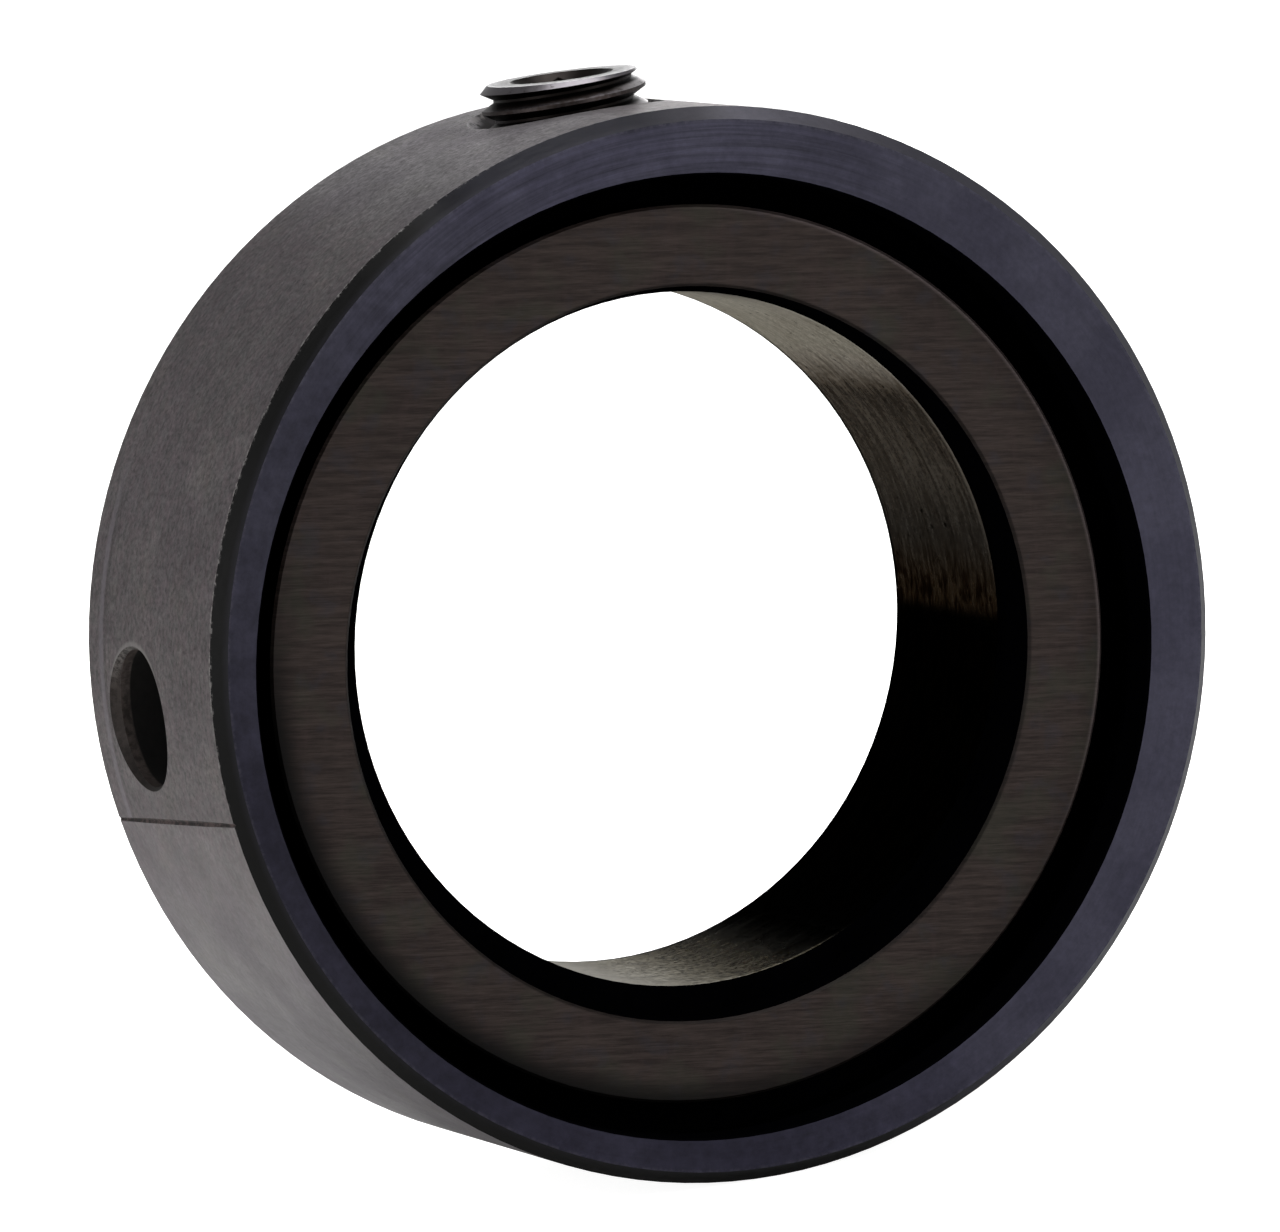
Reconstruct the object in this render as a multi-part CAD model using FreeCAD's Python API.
import FreeCAD, Part
import math
import os

# Eccentric locking collar for a bearing with a cam on its inner ring.
# The bore axis lies along Y and the origin is on it, half way along the
# collar's width. The recessed face looks towards -Y, the set screw stands
# up along +Z and the drift hole opens towards -X. Millimetres and degrees.

Vector = FreeCAD.Vector
ORIGIN = Vector(0, 0, 0)
X_AXIS = Vector(1, 0, 0)
Y_AXIS = Vector(0, 1, 0)
Z_AXIS = Vector(0, 0, 1)

CLEAR = 1.0                # overrun of a cutting tool beyond the surface it opens

# ---------------------------------------------------------------- ring sizes
OUTER_R = 19.25
WIDTH = 13.5               # along the bore axis
BORE_R = 12.5              # 25 mm shaft
FRONT_CHAMFER_R = 0.45     # outer edge of the recessed face, across the radius
FRONT_CHAMFER_Y = 0.60     # the same edge, along the width
BACK_CHAMFER = 0.40        # 45 degrees, outer edge of the plain face
BORE_CHAMFER = 0.40        # 45 degrees, bore edge at the plain face
FRONT = -WIDTH / 2
BACK = WIDTH / 2

# cam recess, all turned about one axis offset from the bore axis
CAM_OFFSET = 0.60          # between the cam axis and the bore axis
CAM_ANGLE = 210.4          # direction of that offset, from +X towards +Z
RECESS_R = 17.20           # wall that holds the cam
RECESS_DEPTH = 1.67        # from the front face to the raised land
RECESS_BREAK = 0.08        # broken edge at the mouth of the recess
LAND_OUTER_R = 16.09       # raised land that the cam's end stops against
LAND_INNER_R = 13.17
LAND_BREAK = 0.10          # broken edges of the land
RELIEF_R = 17.45           # relief groove round the land, undercut past the wall
RELIEF_DEPTH = 2.30        # below the land, for the groove and the bore mouth
LAND_Y = FRONT + RECESS_DEPTH
RELIEF_Y = LAND_Y + RELIEF_DEPTH

# radial holes
HOLE_Y = 1.70              # both radial holes sit behind the recess
TAP_CREST_R = 3.05         # thread in the tapped hole
TAP_ROOT_R = 3.40
TAP_ROOT_FLAT = 0.10       # width of the flat at the thread root
TAP_SINK_R = 3.55          # countersink radius where it meets the wall beside it
TAP_SINK_OVERRUN = 1.5     # the countersink tool above that place
TAP_BORE_BREAK = 0.10      # 45 degree break at the bore, above the bore radius
TAP_TOOL_Z = 10.0          # lower end of the hole tool, inside the bore
TAP_THREAD_Z = BORE_R - 0.5  # the thread tool covers from here up
DRIFT_R = 2.5              # blind hole for a drift pin
DRIFT_DEPTH = 4.20         # straight part, from the outside diameter
DRIFT_BREAK = 0.15         # 45 degree broken edge
DRIFT_EDGE_DROP = 0.16     # fall of the round outside at the hole's edge
DRIFT_POINT = 118.0        # included angle of the drill's point

# fine vee line scribed across the outside below the drift hole, a little askew
SCRIBE_ANGLE = 190.9       # at the middle of the width, from +X towards +Z
SCRIBE_SKEW = 4.0          # off the bore axis
SCRIBE_WIDTH = 0.20
SCRIBE_DEPTH = 0.06

# ---------------------------------------------------------------- thread sizes
PITCH = 0.75
THREAD_FLANK = 30.0        # slope of each flank off the radial direction
THREAD_OVERCUT = 0.06      # thread tools reach this far past the crest

# ---------------------------------------------------------------- screw sizes
# M6 fine thread with a hexagon socket and a cup point
SCREW_R = 3.0
SCREW_ROOT_R = 2.54
SCREW_ROOT_FLAT = PITCH / 8  # width of the flat at the thread root
SCREW_LENGTH = 6.0
SCREW_STANDOUT = 1.05      # of the socket end above the ring's outside
SCREW_END_CHAMFER = 0.30
SCREW_PHASE = 0.572        # height of a thread root above the point, on the +X side
SCREW_POINT_Z = OUTER_R + SCREW_STANDOUT - SCREW_LENGTH
SOCKET_AF = 3.0            # across flats
SOCKET_CORNER_R = SOCKET_AF / 2 / math.cos(math.radians(30))
SOCKET_TURN = 12           # first corner, from +X towards +Y
SOCKET_DEPTH = 2.9
SOCKET_POINT = 120.0       # included angle of the cone in the socket's floor
SOCKET_SINK = 0.16         # countersink beyond the hexagon's corners, at the end
SINK_OVERRUN = 0.5         # the countersink tool above the screw's end
FLOOR_OVERLAP = 0.5        # the floor tool up into the hexagon
CUP_RIM_R = 1.50
CUP_DEPTH = 0.75
CUP_LAND = 0.10            # width of the flat round the cup


# ---------------------------------------------------------------- shared shapes
def face_of(points):
    """A flat face bounded by a polygon through the points."""
    return Part.Face(Part.makePolygon(points + [points[0]]))


def about_y(profile, axis_x=0.0, axis_z=0.0):
    """Turn (radius, y) pairs about the line along Y through (axis_x, axis_z)."""
    face = face_of([Vector(axis_x + radius, y, axis_z) for radius, y in profile])
    return face.revolve(Vector(axis_x, 0, axis_z), Y_AXIS, 360)


def about_z(profile):
    """Turn (radius, z) pairs about Z."""
    face = face_of([Vector(radius, 0, z) for radius, z in profile])
    return face.revolve(ORIGIN, Z_AXIS, 360)


def cone_height(radius, included_angle):
    """Height of a cone from its base radius and the angle at its point."""
    return radius / math.tan(math.radians(included_angle / 2))


def thread_turn(root_r, root_flat, mouth_r):
    """One full turn of a right-hand vee groove, as a closed solid.

    The helix starts on the +X side at z = 0. The vee widens from its flat at
    root_r to its mouth at mouth_r, which may lie inside or outside the root.
    """
    root_half = root_flat / 2
    rise = abs(mouth_r - root_r) * math.tan(math.radians(THREAD_FLANK))
    mouth_half = root_half + rise
    section = [
        Vector(mouth_r, 0, -mouth_half),
        Vector(mouth_r, 0, mouth_half),
        Vector(root_r, 0, root_half),
        Vector(root_r, 0, -root_half),
    ]
    path = Part.Wire(Part.makeHelix(PITCH, PITCH, mouth_r).Edges)
    sweep = Part.BRepOffsetAPI.MakePipeShell(path)
    sweep.setBiNormalMode(Z_AXIS)
    sweep.add(Part.makePolygon(section + [section[0]]))
    sweep.build()
    sweep.makeSolid()
    return sweep.shape()


def stacked_turns(turn, phase_z, low, high):
    """Copies of one turn, a pitch apart and in step with phase_z, over low to high."""
    first = math.floor((low - phase_z) / PITCH) - 1
    last = math.ceil((high - phase_z) / PITCH)
    copies = []
    for i in range(first, last + 1):
        copy = turn.copy()
        copy.translate(Vector(0, 0, phase_z + i * PITCH))
        copies.append(copy)
    return copies


def single_solid(shape):
    """The one solid in a shape."""
    found = shape.Solids
    if len(found) != 1 or not found[0].isValid():
        raise ValueError("expected one valid solid, found %d" % len(found))
    return found[0]


# ---------------------------------------------------------------- ring
def ring_blank():
    return about_y([
        (BORE_R, FRONT),
        (OUTER_R - FRONT_CHAMFER_R, FRONT),
        (OUTER_R, FRONT + FRONT_CHAMFER_Y),
        (OUTER_R, BACK - BACK_CHAMFER),
        (OUTER_R - BACK_CHAMFER, BACK),
        (BORE_R + BORE_CHAMFER, BACK),
        (BORE_R, BACK - BORE_CHAMFER),
    ])


def cam_tool():
    """Recess, relief groove round the land, and the offset mouth of the bore."""
    profile = [
        (0, FRONT - CLEAR),
        (RECESS_R + RECESS_BREAK + CLEAR, FRONT - CLEAR),
        (RECESS_R, FRONT + RECESS_BREAK),
        (RECESS_R, LAND_Y),
        (RELIEF_R, LAND_Y),
        (RELIEF_R, RELIEF_Y),
        (LAND_OUTER_R, RELIEF_Y),
        (LAND_OUTER_R, LAND_Y + LAND_BREAK),
        (LAND_OUTER_R - LAND_BREAK, LAND_Y),
        (LAND_INNER_R + LAND_BREAK, LAND_Y),
        (LAND_INNER_R, LAND_Y + LAND_BREAK),
        (LAND_INNER_R, RELIEF_Y),
        (0, RELIEF_Y),
    ]
    angle = math.radians(CAM_ANGLE)
    return about_y(profile, CAM_OFFSET * math.cos(angle), CAM_OFFSET * math.sin(angle))


def tapped_hole_tools():
    """Hole countersunk outside and broken at the bore, then its thread."""
    break_top = BORE_R + TAP_BORE_BREAK
    sink_z = math.sqrt(OUTER_R**2 - TAP_SINK_R**2)
    sink_top = sink_z + TAP_SINK_OVERRUN
    hole = about_z([
        (0, TAP_TOOL_Z),
        (TAP_CREST_R + break_top - TAP_TOOL_Z, TAP_TOOL_Z),
        (TAP_CREST_R, break_top),
        (TAP_CREST_R, sink_z - (TAP_SINK_R - TAP_CREST_R)),
        (TAP_SINK_R + TAP_SINK_OVERRUN, sink_top),
        (0, sink_top),
    ])
    turn = thread_turn(TAP_ROOT_R, TAP_ROOT_FLAT, TAP_CREST_R - THREAD_OVERCUT)
    # the ring's thread roots face the screw's crests, half a pitch from its roots
    phase_z = SCREW_POINT_Z + SCREW_PHASE + PITCH / 2
    tools = [hole] + stacked_turns(turn, phase_z, TAP_THREAD_Z, OUTER_R)
    for tool in tools:
        tool.translate(Vector(0, HOLE_Y, 0))
    return tools


def drift_tool():
    """Blind hole with a drill point and a broken edge, turned to face -X."""
    floor = OUTER_R - DRIFT_DEPTH
    drift = about_z([
        (0, floor - cone_height(DRIFT_R, DRIFT_POINT)),
        (DRIFT_R, floor),
        (DRIFT_R, OUTER_R - DRIFT_EDGE_DROP - DRIFT_BREAK),
        (DRIFT_R + DRIFT_BREAK + DRIFT_EDGE_DROP + CLEAR, OUTER_R + CLEAR),
        (0, OUTER_R + CLEAR),
    ])
    drift.rotate(ORIGIN, Y_AXIS, -90)
    drift.translate(Vector(0, HOLE_Y, 0))
    return drift


def scribe_tool():
    """Vee bar that is SCRIBE_WIDTH across at the ring's outside."""
    # the top is twice as far from the vee's point, so twice as wide
    top = OUTER_R + SCRIBE_DEPTH
    start = FRONT - CLEAR
    section = face_of([
        Vector(OUTER_R - SCRIBE_DEPTH, start, 0),
        Vector(top, start, SCRIBE_WIDTH),
        Vector(top, start, -SCRIBE_WIDTH),
    ])
    scribe = section.extrude(Vector(0, WIDTH + 2 * CLEAR, 0))
    scribe.rotate(ORIGIN, X_AXIS, SCRIBE_SKEW)
    scribe.rotate(ORIGIN, Y_AXIS, -SCRIBE_ANGLE)
    return scribe


def make_ring():
    ring = ring_blank().cut(cam_tool())
    ring = ring.cut(tapped_hole_tools())
    ring = ring.cut([drift_tool(), scribe_tool()])
    return single_solid(ring.removeSplitter())


# ---------------------------------------------------------------- set screw
def screw_blank():
    tip_r = CUP_RIM_R + CUP_LAND
    return about_z([
        (0, CUP_DEPTH),
        (CUP_RIM_R, 0),
        (tip_r, 0),
        (SCREW_R, SCREW_R - tip_r),
        (SCREW_R, SCREW_LENGTH - SCREW_END_CHAMFER),
        (SCREW_R - SCREW_END_CHAMFER, SCREW_LENGTH),
        (0, SCREW_LENGTH),
    ])


def socket_tools():
    """Hexagon, the cone in its floor, and the countersink at its mouth."""
    floor_z = SCREW_LENGTH - SOCKET_DEPTH
    corners = []
    for i in range(6):
        angle = math.radians(60 * i + SOCKET_TURN)
        x = SOCKET_CORNER_R * math.cos(angle)
        y = SOCKET_CORNER_R * math.sin(angle)
        corners.append(Vector(x, y, floor_z))
    hexagon = face_of(corners).extrude(Vector(0, 0, SOCKET_DEPTH + CLEAR))

    floor_r = SOCKET_AF / 2
    floor = about_z([
        (0, floor_z - cone_height(floor_r, SOCKET_POINT)),
        (floor_r, floor_z),
        (floor_r, floor_z + FLOOR_OVERLAP),
        (0, floor_z + FLOOR_OVERLAP),
    ])

    sink_r = SOCKET_CORNER_R + SOCKET_SINK
    sink = about_z([
        (0, SCREW_LENGTH - CLEAR),
        (sink_r - CLEAR, SCREW_LENGTH - CLEAR),
        (sink_r + SINK_OVERRUN, SCREW_LENGTH + SINK_OVERRUN),
        (0, SCREW_LENGTH + SINK_OVERRUN),
    ])
    return [hexagon, floor, sink]


def make_set_screw():
    """Built with its point at z = 0 on Z, then moved into the tapped hole."""
    turn = thread_turn(SCREW_ROOT_R, SCREW_ROOT_FLAT, SCREW_R + THREAD_OVERCUT)
    screw = screw_blank().cut(stacked_turns(turn, SCREW_PHASE, 0.0, SCREW_LENGTH))
    screw = single_solid(screw.cut(socket_tools()).removeSplitter())
    screw.translate(Vector(0, HOLE_Y, SCREW_POINT_Z))
    return screw


os.makedirs("parts", exist_ok=True)
make_ring().exportStep("parts/collar_ring.step")
make_set_screw().exportStep("parts/set_screw.step")
